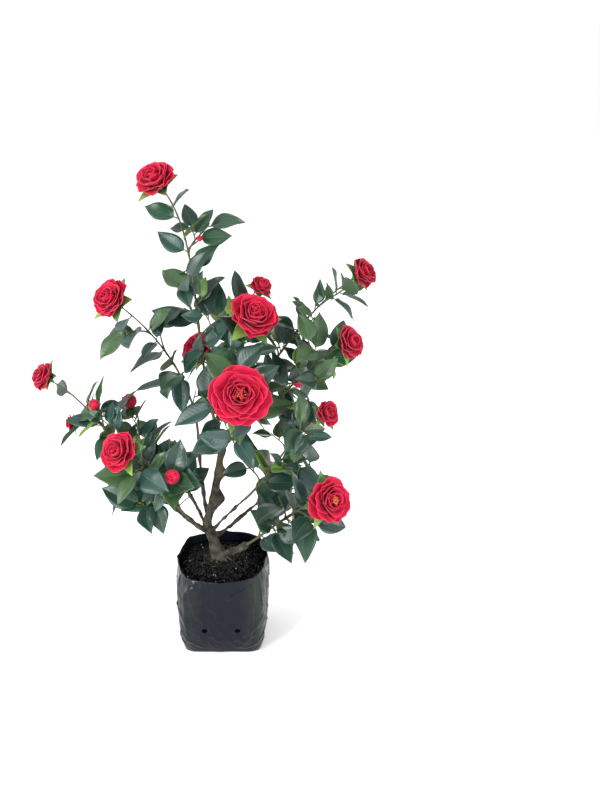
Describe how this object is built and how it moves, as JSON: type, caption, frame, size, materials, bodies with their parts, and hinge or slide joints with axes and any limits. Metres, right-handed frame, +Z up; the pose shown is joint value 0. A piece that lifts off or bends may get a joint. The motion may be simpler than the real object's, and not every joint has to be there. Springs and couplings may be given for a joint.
{
  "type": "potted camellia shrub",
  "caption": "Young camellia shrub with open boughs, glossy leaves and double crimson flowers, standing in a soil-filled black plastic nursery bag.",
  "frame": {"origin": "centre of the flat underside of the nursery bag", "axes": "+Z up the plant, -Y the open side that faces the viewer, +X to that viewer's right"},
  "size_m": [0.2794, 0.2287, 0.4143],
  "materials": {
    "film": "thin black polythene with a soft sheen and creases",
    "soil": "moist dark potting mix with pale grains",
    "bark": "grey-brown young bark, matt",
    "leaf": "dark leathery evergreen leaf, semi-gloss",
    "petal": "crimson petal, soft sheen"
  },
  "bodies": {
    "root": {"bag": "film", "soil": "soil", "trunk": "bark", "bough_low_right": "bark", "bough_left": "bark", "bough_left_front": "bark", "bough_left_rise": "bark", "bough_leader": "bark", "bough_centre": "bark", "bough_right": "bark", "bough_upper_right": "bark", "bough_right_thin": "bark", "bough_centre_back": "bark", "bough_back_left": "bark", "bough_back_right": "bark", "bough_back_top": "bark", "top_spray": "leaf", "upper_left_spray": "leaf", "far_left_spray": "leaf", "lower_left_spray": "leaf", "centre_front": "leaf", "centre_back": "leaf", "right_spray": "leaf", "upper_right_spray": "leaf", "middle_right_spray": "leaf", "lower_right_spray": "leaf", "back_left_mass": "leaf", "back_right_mass": "leaf", "back_top_mass": "leaf"}
  },
  "joints": []
}
